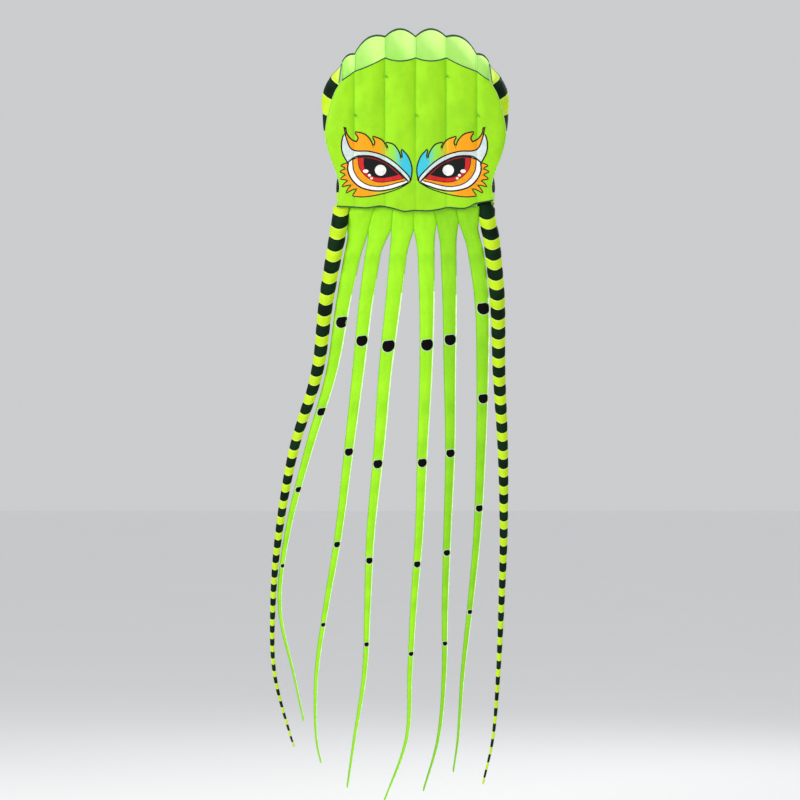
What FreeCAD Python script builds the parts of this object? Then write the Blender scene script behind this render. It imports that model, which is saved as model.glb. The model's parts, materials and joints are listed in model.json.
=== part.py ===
import FreeCAD, Part
import math
import os

import Sketcher
from FreeCAD import Placement, Rotation, Vector

# Octopus kite: a ram-air head with five ribs, six flat green tentacles and two striped tube arms.
# X runs across the face, Y from the face to the back, Z up. The origin is the centre bridle loop's bore.
# Heights in the sheet are measured up from the face's bottom hem, which lies hem_drop below the origin.

SIZES = {
    # head
    "hem_drop": 480, "cell_width": 157.5, "side_seam": 380, "fabric": 2.5, "billow": 20, "seam_depth": 20,
    "lip_height": 776, "lip_corner": 660, "lip_sag": 18, "crown_height": 896, "crown_corner": 762,
    "crown_crest": 42,
    "back_depth": 244, "side_fade": 0.42, "hem_depth": 125, "back_billow": 22,
    "half_width": 464, "half_width_height": 379, "neck": 392, "neck_height": 126, "hem_half_width": 408,
    "binding": 9, "crossport": 70, "eye_gap": 0.3, "print_layer": 1,
    # bridle loops
    "loop_bore": 3, "webbing": 1.5, "tape_width": 10, "loop_row_gap": 200,
    # tentacles and arms
    "arm_plane": 75, "hinge_drop": 103, "first_seam": 1050, "second_seam": 2000,
    "root_swing": 30, "seam_swing": 35, "tentacle_root": 100, "tentacle_tip": 8, "tentacle_flatness": 0.35,
    "arm_root": 88, "arm_tip": 9, "arm_wall": 2, "taper": 1.2, "thin_taper": 1.6, "ring_pitch": 80,
    "first_pitch": 120, "last_pitch": 62, "bands": 31, "slit_width": 4,
}

doc = FreeCAD.newDocument("octopus_kite")
sheet = doc.addObject("Spreadsheet::Sheet", "Sizes")
for row, (alias, value) in enumerate(SIZES.items(), start=1):
    sheet.set(f"A{row}", alias)
    sheet.set(f"B{row}", str(value))
    sheet.setAlias(f"B{row}", alias)
doc.recompute()


def size(alias):
    return float(getattr(sheet, alias))


HEM = -size("hem_drop")
SEAMS = [-size("side_seam"), -2 * size("cell_width"), -size("cell_width"), 0.0]
SEAMS += [-x for x in reversed(SEAMS[:-1])]
parts = []


def keep(obj, label):
    """Names a finished sub-part and lists it for export."""
    obj.Label = label
    parts.append(obj)
    return obj


def feature(label, shape):
    obj = doc.addObject("Part::Feature", label)
    obj.Shape = shape
    obj.Placement = Placement()
    return keep(obj, label)


def above_hem(height):
    return HEM + height


def hermite(levels, values, level):
    """Smooth curve through values given at rising or falling levels, with mean slopes at the points."""
    sign = 1 if levels[-1] > levels[0] else -1
    last = len(levels) - 2
    i = next((k for k in range(last) if sign * level <= sign * levels[k + 1]), last)

    def slope(k):
        a, b = max(k - 1, 0), min(k + 1, len(levels) - 1)
        return (values[b] - values[a]) / (levels[b] - levels[a])

    span = levels[i + 1] - levels[i]
    u = (level - levels[i]) / span
    rise, fall = 3 * u**2 - 2 * u**3, u * (1 - u) ** 2
    ease = u**2 * (u - 1)
    return values[i] * (1 - rise) + values[i + 1] * rise + span * (slope(i) * fall + slope(i + 1) * ease)


# ---- head: outlines shared by the panels -----------------------------------------------------------

# The seam arcs of the two lips: how fast they fall outside the middle cells.
LIP_FALL, CROWN_FALL = 1.45, 1.1


def shoulder(x, middle, corner, power):
    """A height that is level over the middle cells and falls towards the side seams."""
    flat = size("cell_width")
    share = max(0.0, (abs(x) - flat) / (size("side_seam") - flat))
    return middle - (middle - corner) * share ** power


def lip_point(x):
    """Height of the mouth's lower lip above the hem at a seam."""
    return shoulder(x, size("lip_height"), size("lip_corner"), LIP_FALL)


def crown_point(x):
    """Height of the mouth's upper lip above the hem at a seam."""
    return shoulder(x, size("crown_height"), size("crown_corner"), CROWN_FALL)


def spline(points):
    curve = Part.BSplineCurve()
    curve.interpolate(points)
    return curve.toShape()


def half_width(height):
    """Half the face's width at a height above the hem."""
    levels = [0, size("neck_height"), 283, size("half_width_height"), 500, 600, size("lip_corner")]
    values = [size("hem_half_width"), size("neck"), 444, size("half_width"), 447, 414, size("side_seam")]
    return hermite(levels, values, height)


def face_side(sign, low, high):
    """Points down one side edge of the face, between two heights."""
    steps = 12
    heights = [low + (high - low) * k / steps for k in range(steps + 1)]
    return [Vector(sign * half_width(h), 0, above_hem(h)) for h in heights]


def lip_edge(drop):
    """Edges of the lower lip, from the right corner to the left, lowered by drop."""
    edges = []
    seams = list(reversed(SEAMS))
    for a, b in zip(seams, seams[1:]):
        ends = [Vector(x, 0, above_hem(lip_point(x)) - drop) for x in (a, b)]
        outside = abs(a + b) / 2 > size("cell_width")
        sag = size("lip_sag") * abs(b - a) / size("cell_width") * (0.35 if outside else 1)
        middle = (ends[0] + ends[1]) / 2 - Vector(0, 0, sag)
        edges.append(Part.Arc(ends[0], middle, ends[1]).toShape())
    return edges


def line(a, b):
    return Part.makeLine(a, b)


def prism(edges, front=-60.0, back=120.0):
    """A closed outline in the face's plane, extruded from front to back."""
    face = Part.Face(Part.Wire(Part.__sortEdges__(edges)))
    face.translate(Vector(0, front, 0))
    return face.extrude(Vector(0, back - front, 0))


def face_prism(low, drop):
    """Everything behind the face's outline, from a height above the hem to the lip lowered by drop."""
    corner = size("lip_corner") - drop
    right, left = face_side(1, low, corner), face_side(-1, low, corner)
    right[-1] = Vector(size("side_seam"), 0, above_hem(corner))
    left[-1] = Vector(-size("side_seam"), 0, above_hem(corner))
    return prism([spline(right), spline(left), line(left[0], right[0])] + lip_edge(drop))


def billowed_wall(front, thickness):
    """Upright wall of cells that bulge towards -Y, its seams at seam_depth + front."""
    edge = size("half_width") + 26
    xs = [-edge] + SEAMS[1:-1] + [edge]
    depth = size("seam_depth") + front

    def chain(offset):
        edges = []
        for a, b in zip(xs, xs[1:]):
            top = Vector((a + b) / 2, depth + offset - size("billow"), 0)
            ends = Vector(a, depth + offset, 0), Vector(b, depth + offset, 0)
            edges.append(Part.Arc(ends[0], top, ends[1]).toShape())
        return edges

    close = [line(Vector(x, depth, 0), Vector(x, depth + thickness, 0)) for x in (xs[0], xs[-1])]
    wire = Part.Wire(Part.__sortEdges__(chain(0) + chain(thickness) + close))
    face = Part.Face(wire)
    face.translate(Vector(0, 0, above_hem(-10)))
    return face.extrude(Vector(0, 0, size("lip_height") + 40))


# ---- head: front panels ------------------------------------------------------------------------------


def make_face():
    edge = size("binding")
    wall = billowed_wall(0, size("fabric"))
    thick = billowed_wall(-1, size("fabric") + 2)
    feature("face_panel", wall.common(face_prism(edge, edge)))
    upper, lower = lip_edge(0), lip_edge(edge)
    ends = []
    for x in (SEAMS[0], SEAMS[-1]):
        corner = Vector(x, 0, above_hem(lip_point(x)))
        ends.append(line(corner, corner - Vector(0, 0, edge)))
    feature("lower_mouth_binding", thick.common(prism(upper + lower + ends)))
    feature("hem_binding", thick.common(face_prism(0, edge)).common(hem_strip(edge)))


def hem_strip(height):
    wide, deep = 2 * size("half_width") + 100, 400
    return Part.makeBox(wide, deep, height, Vector(-wide / 2, -deep / 2, HEM))


# Points round an eye's print: distance from the middle of the face, and height above the hem.
EYE_OUTLINE = [
    (58, 118), (150, 84), (262, 66), (346, 92), (376, 160), (362, 262), (346, 400),
    (262, 374), (170, 338), (92, 262), (48, 190),
]


def make_eye(side):
    """Printed eye patch: a closed almond with a raised outer tip, just in front of the face."""
    label = "left_eye" if side < 0 else "right_eye"
    points = [Vector(side * x, 0, above_hem(z)) for x, z in EYE_OUTLINE]
    curve = Part.BSplineCurve()
    curve.interpolate(points, True)
    layer = billowed_wall(-size("eye_gap") - size("print_layer"), size("print_layer"))
    feature(label, layer.common(prism([curve.toShape()])))


# ---- head: ribs and back panels ------------------------------------------------------------------------

# The back skin's section: shares of its height, and how much of its full depth it reaches there.
BACK_SHARES = [(1.0, 0.55), (0.80, 0.94), (0.62, 1.0), (0.42, 0.86), (0.21, 0.46), (0.0, 0.0)]


def back_points(x, inset=0.0, bulge=0.0):
    """Section of the back skin at x, from the upper lip down to the hem."""
    fade = 1 - size("side_fade") * (x / size("side_seam")) ** 2
    depth = (size("back_depth") - size("hem_depth")) * fade
    top = crown_point(x) + bulge * size("crown_crest") / size("back_billow")
    points = []
    for height, share in BACK_SHARES:
        swell = bulge * min(1.0, 0.35 + 2.4 * height)
        y = size("hem_depth") + depth * share + swell - inset
        points.append(Vector(x, y, above_hem(6 + (top - 6) * height)))
    return points


def back_section(x, bulge=0.0):
    outer = back_points(x, 0, bulge)
    inner = back_points(x, size("fabric"), bulge)
    sides = line(outer[-1], inner[-1]), line(inner[0], outer[0])
    return Part.Wire([spline(outer), sides[0], spline(list(reversed(inner))), sides[1]])


def make_back_panels():
    for k, (a, b) in enumerate(zip(SEAMS, SEAMS[1:]), start=1):
        bulge = size("back_billow") * (b - a) / size("cell_width")
        sections = [back_section(a), back_section((a + b) / 2, bulge), back_section(b)]
        feature(f"back_panel_{k}", Part.makeLoft(sections, True, False))


def role(body, name):
    return next(o for o in body.Origin.OriginFeatures if o.Role == name)


def sketch_on(body, name, plane):
    sketch = body.newObject("Sketcher::SketchObject", name)
    sketch.AttachmentSupport = [(role(body, plane), "")]
    sketch.MapMode = "FlatFace"
    return sketch


# Heights of a rib's crossports, as shares of the mouth's upper lip.
PORT_SHARES = (0.24, 0.46, 0.68)


def make_rib(number, x):
    """Flat airfoil rib with three crossports, padded both ways from its own YZ plane."""
    body = doc.addObject("PartDesign::Body", f"rib_{number}")
    sketch = sketch_on(body, f"rib_outline_{number}", "YZ_Plane")
    front = size("seam_depth") + size("fabric") + 0.5
    lip = above_hem(lip_point(x) - size("binding") - 2)
    back = [Vector(p.y, p.z, 0) for p in back_points(x, size("fabric") + 0.8)]
    low, high = Vector(front, HEM + 12, 0), Vector(front, lip, 0)
    curve = Part.BSplineCurve()
    curve.interpolate(back)
    sketch.addGeometry(Part.LineSegment(low, high), False)
    sketch.addGeometry(Part.LineSegment(high, back[0]), False)
    sketch.addGeometry(curve, False)
    sketch.addGeometry(Part.LineSegment(back[-1], low), False)
    for first, second in ((0, 1), (1, 2), (2, 3), (3, 0)):
        sketch.addConstraint(Sketcher.Constraint("Coincident", first, 2, second, 1))
    sketch.addConstraint(Sketcher.Constraint("Vertical", 0))
    front_gap = sketch.addConstraint(Sketcher.Constraint("DistanceX", -1, 1, 0, 1, front))
    sketch.setExpression(f"Constraints[{front_gap}]", "Sizes.seam_depth + Sizes.fabric + 0.5")
    pad = body.newObject("PartDesign::Pad", f"rib_pad_{number}")
    pad.Profile = sketch
    pad.Midplane = True
    pad.setExpression("Length", "Sizes.fabric * 0.8")
    ports = sketch_on(body, f"crossports_{number}", "YZ_Plane")
    for share in PORT_SHARES:
        height = above_hem(crown_point(x) * share)
        middle = 0.5 * (front + hermite([p.y for p in back], [p.x for p in back], height))
        hole = ports.addGeometry(Part.Circle(Vector(middle, height, 0), Vector(0, 0, 1), 30), False)
        ring = ports.addConstraint(Sketcher.Constraint("Radius", hole, size("crossport") / 2))
        ports.setExpression(f"Constraints[{ring}]", "Sizes.crossport / 2")
    doc.recompute()
    whole = pad.Shape.Volume
    cut = body.newObject("PartDesign::Pocket", f"crossport_cut_{number}")
    cut.Profile = ports
    cut.Type = "ThroughAll"
    cut.Midplane = True
    body.Tip = cut
    doc.recompute()
    assert cut.Shape.Volume < whole, "the crossports cut nothing"
    body.Placement = Placement(Vector(x, 0, 0), Rotation())
    keep(body, f"rib_{number}")


def make_upper_binding():
    """Piping round the upper lip, one arched length over each cell."""
    thick = size("binding") / 2
    lift = Vector(0, -size("fabric") / 2, thick + 2 * size("fabric"))
    lengths = []
    for a, b in zip(SEAMS, SEAMS[1:]):
        bulge = size("back_billow") * (b - a) / size("cell_width")
        ends = [back_points(x)[0] for x in (a, b)]
        top = back_points((a + b) / 2, 0, bulge)[0]
        whole = Part.Arc(ends[0] + lift, top + lift, ends[1] + lift).toShape()
        trim = (thick + 1) / whole.Length
        span = whole.LastParameter - whole.FirstParameter
        points = [whole.valueAt(whole.FirstParameter + span * share) for share in (trim, 0.5, 1 - trim)]
        arc = Part.Arc(*points).toShape()
        ring = Part.makeCircle(thick, points[0], arc.tangentAt(arc.FirstParameter))
        lengths.append(Part.Wire([arc]).makePipeShell([Part.Wire([ring])], True, True))
    feature("upper_mouth_binding", Part.Compound(lengths))


# ---- head: striped side panels ---------------------------------------------------------------------------

# How far out a side panel reaches at these heights above the hem.
REACH_HEIGHTS = [0, 100, 175, 280, 400, 512, 631, 700, size("crown_corner") - 6]
REACH = [432, 412, 404, 440, 468, 482, 481, 448, 396]
# Heights of the side's band seams, from the mouth's corner down.
SIDE_BANDS = [size("crown_corner") - 8, 690, 570, 482, 400, 318, 236, 160, 84, 8]


def side_section(height, sign):
    """Crescent at a height: from behind the face's edge, out round the side, to the back's side seam."""
    out = hermite(REACH_HEIGHTS, REACH, height)
    shoulder_height = size("lip_corner") - 20
    if height < shoulder_height:
        edge = half_width(height) - 4
    else:
        edge = hermite([shoulder_height, size("crown_corner")], [392, 384], height)
    front = Vector(edge, size("seam_depth") + size("fabric") + 2, 0)
    seam = back_points(size("side_seam"))
    back_y = hermite([p.z for p in seam], [p.y for p in seam], above_hem(height))
    back = Vector(size("side_seam") + size("fabric"), back_y, 0)
    front.x = min(front.x, out - 6)
    middle = Vector(out, (front.y + back.y) / 2, 0)
    circle = Part.Circle(front, middle, back)
    shrink = 1 - size("fabric") / circle.Radius

    def place(p, share):
        p = circle.Center + (p - circle.Center) * share
        return Vector(sign * p.x, p.y, above_hem(height))

    outer = [place(p, 1) for p in (front, middle, back)]
    inner = [place(p, shrink) for p in (back, middle, front)]
    arcs = [Part.Arc(*points).toShape() for points in (outer, inner)]
    return Part.Wire([arcs[0], line(outer[2], inner[0]), arcs[1], line(inner[2], outer[0])])


def ring(centre, outer, wall):
    circles = [Part.Wire([Part.makeCircle(outer, centre)])]
    if outer > wall + 0.6:
        circles.append(Part.Wire([Part.makeCircle(outer - wall, centre)]))
    return circles


def tube(low, high, wall):
    """Hollow oblique cone between two level circles, each given as (centre, radius)."""
    ends = [ring(centre, radius, wall) for centre, radius in (low, high)]
    outer = Part.makeLoft([ends[0][0], ends[1][0]], True, True)
    if min(len(e) for e in ends) < 2:
        return outer
    return outer.cut(Part.makeLoft([ends[0][1], ends[1][1]], True, True))


def make_side(sign):
    """Striped side of the head, from the corner of the mouth down to the arm's root hinge."""
    name = "left" if sign < 0 else "right"
    bands = {"lime": [], "black": []}
    for k, (top, low) in enumerate(zip(SIDE_BANDS, SIDE_BANDS[1:])):
        sections = [side_section(h, sign) for h in (top, (top + low) / 2, low)]
        bands["black" if k % 2 else "lime"].append(Part.makeLoft(sections, True, True))
    gap = hinge_gap(size("arm_root") / 2, size("root_swing"))
    stub = [4.0, -size("hinge_drop") / 2, gap / 2 - size("hinge_drop")]
    for colour, top, low in (("black", stub[0], stub[1]), ("lime", stub[1], stub[2])):
        bands[colour].append(tube(arm_circle(name, low), arm_circle(name, top), size("arm_wall")))
    for colour, solids in bands.items():
        feature(f"{name}_side_{colour}", Part.Compound(solids))


# ---- tentacles and arms ----------------------------------------------------------------------------------

# Each centreline as its X at these depths below the hem; the last depth is the tip.
DEPTHS = [103, 470, 840, 1240, 1670, 2050, 2390, 2730]
TENTACLES = {
    1: (2640, [-297, -370, -432, -551, -660, -700, -628, -546]),
    2: (2855, [-199, -254, -295, -343, -396, -461, -510, -512]),
    3: (2982, [-76, -113, -156, -188, -231, -247, -262, -315]),
    4: (3059, [51, 59, 54, 36, 19, -10, -29, -46]),
    5: (3000, [166, 176, 177, 179, 164, 152, 148, 117]),
    6: (2902, [293, 342, 346, 338, 318, 281, 243, 219]),
}
TIPS = {1: -538, 2: -485, 3: -352, 4: -165, 5: 39, 6: 194}
ARMS = {
    "left": (2773, [-396, -460, -507, -627, -704, -735, -727, -640], -622),
    "right": (2965, [386, 422, 430, 450, 454, 442, 426, 398], 346),
}


HINGES = [("hinge_drop", "root_swing"), ("first_seam", "seam_swing"), ("second_seam", "seam_swing")]


def tapered(root, tip, share, power):
    return tip + (root - tip) * max(0.0, 1 - share) ** power


def arm_circle(name, height):
    """Centre and radius of a striped arm at a height above the hem."""
    length, across, tip = ARMS[name]
    depth = -height
    x = hermite(DEPTHS + [length], across + [tip], max(depth, 0))
    share = max(0.0, depth - size("hinge_drop")) / length
    width = tapered(size("arm_root"), size("arm_tip"), share, size("taper"))
    return Vector(x, size("arm_plane"), above_hem(height)), width / 2


def hinge_gap(half_thickness, swing):
    """Gap that lets a flat end turn by swing degrees without touching the end above it."""
    return 2 * half_thickness * math.tan(math.radians(swing / 2)) + 2


def tentacle_levels(number):
    """Top and bottom depth of a tentacle's three sections."""
    cuts = []
    for depth, swing in HINGES:
        width = tentacle_width(number, size(depth))
        gap = hinge_gap(width * size("tentacle_flatness") / 2, size(swing))
        cuts += [size(depth) - gap / 2, size(depth) + gap / 2]
    edges = cuts[1:] + [TENTACLES[number][0]]
    return list(zip(edges[::2], edges[1::2]))


def tentacle_width(number, depth):
    share = (depth - size("hinge_drop")) / (TENTACLES[number][0] - size("hinge_drop"))
    power = size("thin_taper") if number == 1 else size("taper")
    narrow = 0.92 if number in (2, 6) else 1.0
    return tapered(size("tentacle_root"), size("tentacle_tip"), share, power) * narrow


def make_tentacle(number):
    length, across = TENTACLES[number]
    for k, (top, low) in enumerate(tentacle_levels(number), start=1):
        steps = round((low - top) / size("ring_pitch"))
        rings = []
        for j in range(steps + 1):
            depth = top + (low - top) * j / steps
            x = hermite(DEPTHS + [length], across + [TIPS[number]], depth)
            ellipse = doc.addObject("Part::Ellipse", f"tentacle_{number}_{k}_ring_{j}")
            width = tentacle_width(number, depth)
            ellipse.MajorRadius = width / 2
            ellipse.setExpression("MinorRadius", f"{width / 2} * Sizes.tentacle_flatness")
            ellipse.Placement = Placement(Vector(x, size("arm_plane"), above_hem(-depth)), Rotation())
            rings.append(ellipse)
        loft = doc.addObject("Part::Loft", f"tentacle_{number}_{k}")
        loft.Sections = rings
        loft.Solid = True
        loft.Ruled = True
        keep(loft, f"tentacle_{number}_section_{k}")


def band_edges(name):
    """Depths of an arm's band edges: each band a little shorter than the one above it."""
    count = int(size("bands")) * 2
    first, last = size("first_pitch") / 2, size("last_pitch") / 2
    heights = [first + (last - first) * k / (count - 1) for k in range(count)]
    scale = (ARMS[name][0] - size("hinge_drop")) / sum(heights)
    edges = [size("hinge_drop")]
    for height in heights:
        edges.append(edges[-1] + height * scale)
    return edges


def nearest(values, wanted):
    return min(range(len(values)), key=lambda k: abs(values[k] - wanted))


def make_arm(name):
    """Striped tube in three sections, each a pair of sub-parts: its black bands and its lime bands."""
    edges = band_edges(name)
    cuts = [0, nearest(edges, size("first_seam")), nearest(edges, size("second_seam")), len(edges) - 1]
    for section, (start, stop) in enumerate(zip(cuts, cuts[1:]), start=1):
        bands = {"black": [], "lime": []}
        for k in range(start, stop):
            top, low = edges[k], edges[k + 1]
            if k == start:
                swing = size("root_swing" if section == 1 else "seam_swing")
                top += hinge_gap(arm_circle(name, -top)[1], swing) / 2
            if k == stop - 1 and section < 3:
                low -= hinge_gap(arm_circle(name, -low)[1], size("seam_swing")) / 2
            band = tube(arm_circle(name, -low), arm_circle(name, -top), size("arm_wall"))
            bands["lime" if k % 2 else "black"].append(band)
        for colour, solids in bands.items():
            feature(f"{name}_arm_{section}_{colour}", Part.Compound(solids))


# ---- skirt and bridle loops ------------------------------------------------------------------------------


def make_skirt():
    """V-shaped band of two skins that carries the tentacles, slit between them."""
    front, back, wall = size("seam_depth") + 4, size("hem_depth") - 4, size("fabric")
    bottom = -size("hinge_drop") + hinge_gap(size("tentacle_root") * size("tentacle_flatness") / 2, 30) / 2
    middle = size("arm_plane")
    outer = [(front, 8), (front, 0), (middle - wall, bottom)]
    outer += [(middle + wall, bottom), (back, 0), (back, 3)]
    inner = [(back - wall, 3), (back - wall, 0), (middle, bottom + 3 * wall)]
    inner += [(front + wall, 0), (front + wall, 8)]
    half = size("hem_half_width") - 84
    points = [Vector(-half, y, above_hem(z)) for y, z in outer + inner]
    profile = Part.Face(Part.makePolygon(points + points[:1]))
    skirt = profile.extrude(Vector(2 * half, 0, 0))
    for number in range(1, 6):
        between = (TENTACLES[number][1][0] + TENTACLES[number + 1][1][0]) / 2
        top = bottom + (6 if number < 4 else 36)
        corner = Vector(between - size("slit_width") / 2, 0, HEM + top - 60)
        skirt = skirt.cut(Part.makeBox(size("slit_width"), 200, 60, corner))
    feature("skirt_panel", skirt)


def make_loops():
    """Webbing loops on the face's seams: a ring with its bore along Z and a tab back to the seam."""
    lower = [(x, 0.0) for x in (-2 * size("cell_width"), 0.0, 2 * size("cell_width"))]
    upper = [(x, size("loop_row_gap")) for x in (-size("cell_width"), size("cell_width"))]
    loops = []
    for k, (x, z) in enumerate(lower + upper, start=1):
        outer = doc.addObject("Part::Cylinder", f"loop_outside_{k}")
        outer.setExpression("Radius", "Sizes.loop_bore + Sizes.webbing")
        tab = doc.addObject("Part::Box", f"loop_tab_{k}")
        tab.setExpression("Length", "2 * Sizes.webbing")
        tab.setExpression("Width", "Sizes.seam_depth - Sizes.loop_bore - Sizes.webbing")
        low = z - size("tape_width") / 2
        tab.Placement = Placement(Vector(x - size("webbing"), size("loop_bore"), low), Rotation())
        bore = doc.addObject("Part::Cylinder", f"loop_bore_{k}")
        bore.setExpression("Radius", "Sizes.loop_bore")
        for solid in (outer, bore):
            solid.Placement = Placement(Vector(x, 0, low), Rotation())
        for solid in (outer, bore, tab):
            solid.setExpression("Height", "Sizes.tape_width")
        body = doc.addObject("Part::Fuse", f"loop_body_{k}")
        body.Base, body.Tool = outer, tab
        loop = doc.addObject("Part::Cut", f"loop_{k}")
        loop.Base, loop.Tool = body, bore
        loops.append(loop)
    group = doc.addObject("Part::Compound", "bridle_loops")
    group.Links = loops
    keep(group, "bridle_loops")


make_face()
for side in (-1, 1):
    make_eye(side)
make_back_panels()
for number, seam in enumerate(SEAMS[1:-1], start=1):
    make_rib(number, seam)
make_upper_binding()
for side in (-1, 1):
    make_side(side)
make_skirt()
make_loops()
for number in TENTACLES:
    make_tentacle(number)
for name in ARMS:
    make_arm(name)
doc.recompute()

for obj in doc.Objects:
    if {"Invalid", "Error"} & set(obj.State):
        raise SystemExit(f"{obj.Label} is {obj.State}")
for obj in parts:
    if obj.Shape.isNull() or not obj.Shape.isValid():
        raise SystemExit(f"{obj.Label} has no valid shape")
os.makedirs("parts", exist_ok=True)
for obj in parts:
    obj.Shape.exportStep(f"parts/{obj.Label}.step")
print(len(parts), "sub-parts,", sum(len(o.Shape.Solids) for o in parts), "solids,",
      round(sum(o.Shape.Volume for o in parts) / 1e6, 1), "litres")
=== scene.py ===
import json
import math

import bpy
import numpy as np
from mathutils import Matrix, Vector, geometry, noise
from mathutils.bvhtree import BVHTree


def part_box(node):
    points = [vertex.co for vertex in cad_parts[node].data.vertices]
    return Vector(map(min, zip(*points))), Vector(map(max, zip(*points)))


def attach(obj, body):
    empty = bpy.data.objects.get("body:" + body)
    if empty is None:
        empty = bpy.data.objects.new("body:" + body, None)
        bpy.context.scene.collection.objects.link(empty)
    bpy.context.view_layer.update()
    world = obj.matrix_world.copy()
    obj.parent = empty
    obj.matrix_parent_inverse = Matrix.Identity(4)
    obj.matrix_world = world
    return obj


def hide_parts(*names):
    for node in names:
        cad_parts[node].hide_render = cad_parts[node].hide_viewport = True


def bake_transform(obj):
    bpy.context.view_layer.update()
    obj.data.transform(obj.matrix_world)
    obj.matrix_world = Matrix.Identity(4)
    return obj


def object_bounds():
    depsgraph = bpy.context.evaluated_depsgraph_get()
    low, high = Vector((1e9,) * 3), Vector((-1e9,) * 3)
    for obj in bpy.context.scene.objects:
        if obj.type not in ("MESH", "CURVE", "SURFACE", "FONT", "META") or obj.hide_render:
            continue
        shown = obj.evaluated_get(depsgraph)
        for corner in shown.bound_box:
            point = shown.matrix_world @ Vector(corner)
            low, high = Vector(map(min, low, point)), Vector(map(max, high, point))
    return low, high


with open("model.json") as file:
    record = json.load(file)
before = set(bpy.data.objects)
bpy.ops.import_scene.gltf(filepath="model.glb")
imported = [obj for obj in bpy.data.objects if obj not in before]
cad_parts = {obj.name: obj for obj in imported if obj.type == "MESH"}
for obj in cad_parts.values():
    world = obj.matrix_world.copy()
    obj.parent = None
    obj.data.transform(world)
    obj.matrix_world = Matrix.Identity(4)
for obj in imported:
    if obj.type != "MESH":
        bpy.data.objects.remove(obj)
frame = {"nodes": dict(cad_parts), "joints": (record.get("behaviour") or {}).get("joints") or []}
cad_box = [[float(v) for v in corner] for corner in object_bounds()]

# ---- places read from the frame, in metres ----

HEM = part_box("hem_binding")[0][2]
RIBS = [float(sum(corner[0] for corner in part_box(f"rib_{k}")) / 2) for k in range(1, 6)]
SIDE = float(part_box("back_panel_6")[1][0])
CELL = RIBS[3] - RIBS[2]
BILLOW = 0.020
SEAM_Y = float(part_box("face_panel")[0][1]) + BILLOW
EDGE_Y = SEAM_Y + 0.0045
SEAMS = [-SIDE] + RIBS + [SIDE]
HINGES = {j["name"]: j for j in frame["joints"]}
LEVELS = ("root", "middle", "tip")
arrays = {}


def points_and_edges(node):
    if node not in arrays:
        mesh = frame["nodes"][node].data
        points = np.array([v.co for v in mesh.vertices], float)
        arrays[node] = points, np.array([e.vertices for e in mesh.edges], int)
    return arrays[node]


def cut(nodes, axis, value):
    """Where the CAD meshes of these nodes cross a plane, as points."""
    found = []
    for node in nodes:
        points, edges = points_and_edges(node)
        a, b = points[edges[:, 0]], points[edges[:, 1]]
        da, db = a[:, axis] - value, b[:, axis] - value
        hit = da * db < 0
        share = da[hit] / (da[hit] - db[hit])
        found.append(a[hit] + (b[hit] - a[hit]) * share[:, None])
    return np.concatenate(found)


def lookup(rows, z, *columns):
    """Values at a height, from rows that start with their heights."""
    return [float(np.interp(z, rows[:, 0], rows[:, k])) for k in columns]


def ease(t):
    t = min(max(t, 0.0), 1.0)
    return t * t * (3 - 2 * t)


def circle(count):
    """Cosine and sine of evenly spaced angles."""
    angles = [2 * math.pi * j / count for j in range(count)]
    return [(math.cos(a), math.sin(a)) for a in angles]


def ripple(x, y, z=0.0):
    """Smooth noise from -1 to 1 at a place."""
    return noise.noise(Vector((x, y, z)))


# ---- materials ----


class Shader:
    """A material under construction: nodes are added by kind, and inputs are values or other sockets."""

    def __init__(self, name):
        self.material = bpy.data.materials.new(name)
        self.material.use_nodes = True
        self.tree = self.material.node_tree
        self.surface = self.tree.nodes["Principled BSDF"]

    def add(self, kind, inputs, output=0, **settings):
        node = self.tree.nodes.new("ShaderNode" + kind)
        for key, value in settings.items():
            setattr(node, key, value)
        for key, value in inputs.items():
            self.feed(node, key, value)
        return node.outputs[output]

    def feed(self, node, key, value):
        if isinstance(value, bpy.types.NodeSocket):
            self.tree.links.new(value, node.inputs[key])
        else:
            node.inputs[key].default_value = value

    def math(self, operation, a, b=0.0, c=0.0):
        return self.add("Math", {0: a, 1: b, 2: c}, operation=operation)

    def mix(self, share, a, b):
        node = self.tree.nodes.new("ShaderNodeMix")
        node.data_type = "RGBA"
        for key, value in ((0, share), (6, a), (7, b)):
            self.feed(node, key, value)
        return node.outputs[2]

    def noise(self, vector, scale, detail=3.0):
        return self.add("TexNoise", {"Vector": vector, "Scale": scale, "Detail": detail})

    def ramp(self, value, low, high):
        """0 below low and 1 above high, smooth between."""
        inputs = {0: value, 1: low, 2: high, 3: 0.0, 4: 1.0}
        return self.add("MapRange", inputs, interpolation_type="SMOOTHSTEP")

    def lines(self, value, pitch, width):
        """1 on thin lines that repeat every pitch."""
        return self.math("SUBTRACT", 1.0, self.ramp(self.math("PINGPONG", value, pitch / 2), 0.0, width))

    def threads(self, across, along, pitch):
        """1 on the raised threads of a ripstop grid."""
        return self.math("MAXIMUM", self.lines(across, pitch, THREAD), self.lines(along, pitch, THREAD))

    def total(self, *terms):
        """The sum of values times their weights."""
        first, *rest = [self.math("MULTIPLY", value, weight) for value, weight in terms]
        for part in rest:
            first = self.math("ADD", first, part)
        return first

    def bump(self, strength, distance, height):
        return self.add("Bump", {"Strength": strength, "Distance": distance, "Height": height})

    def finish(self, inputs):
        """Feeds the surface's inputs by name and returns the material."""
        for key, value in inputs.items():
            self.feed(self.surface, key, value)
        return self.material


def rgb(red, green, blue):
    """Linear colour from 0-255 display values."""
    parts = []
    for v in (red, green, blue):
        v /= 255
        parts.append(v / 12.92 if v <= 0.04045 else ((v + 0.055) / 1.055) ** 2.4)
    return (*parts, 1.0)


# Pitch of the ripstop grid, width of its threads, and pitch of a tape's ribs.
GRID, THREAD, RIB_PITCH = 0.006, 0.0007, 0.0016


def split(shader, vector):
    """The three parts of a vector."""
    node = shader.tree.nodes.new("ShaderNodeSeparateXYZ")
    shader.tree.links.new(vector, node.inputs[0])
    return node.outputs


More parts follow.
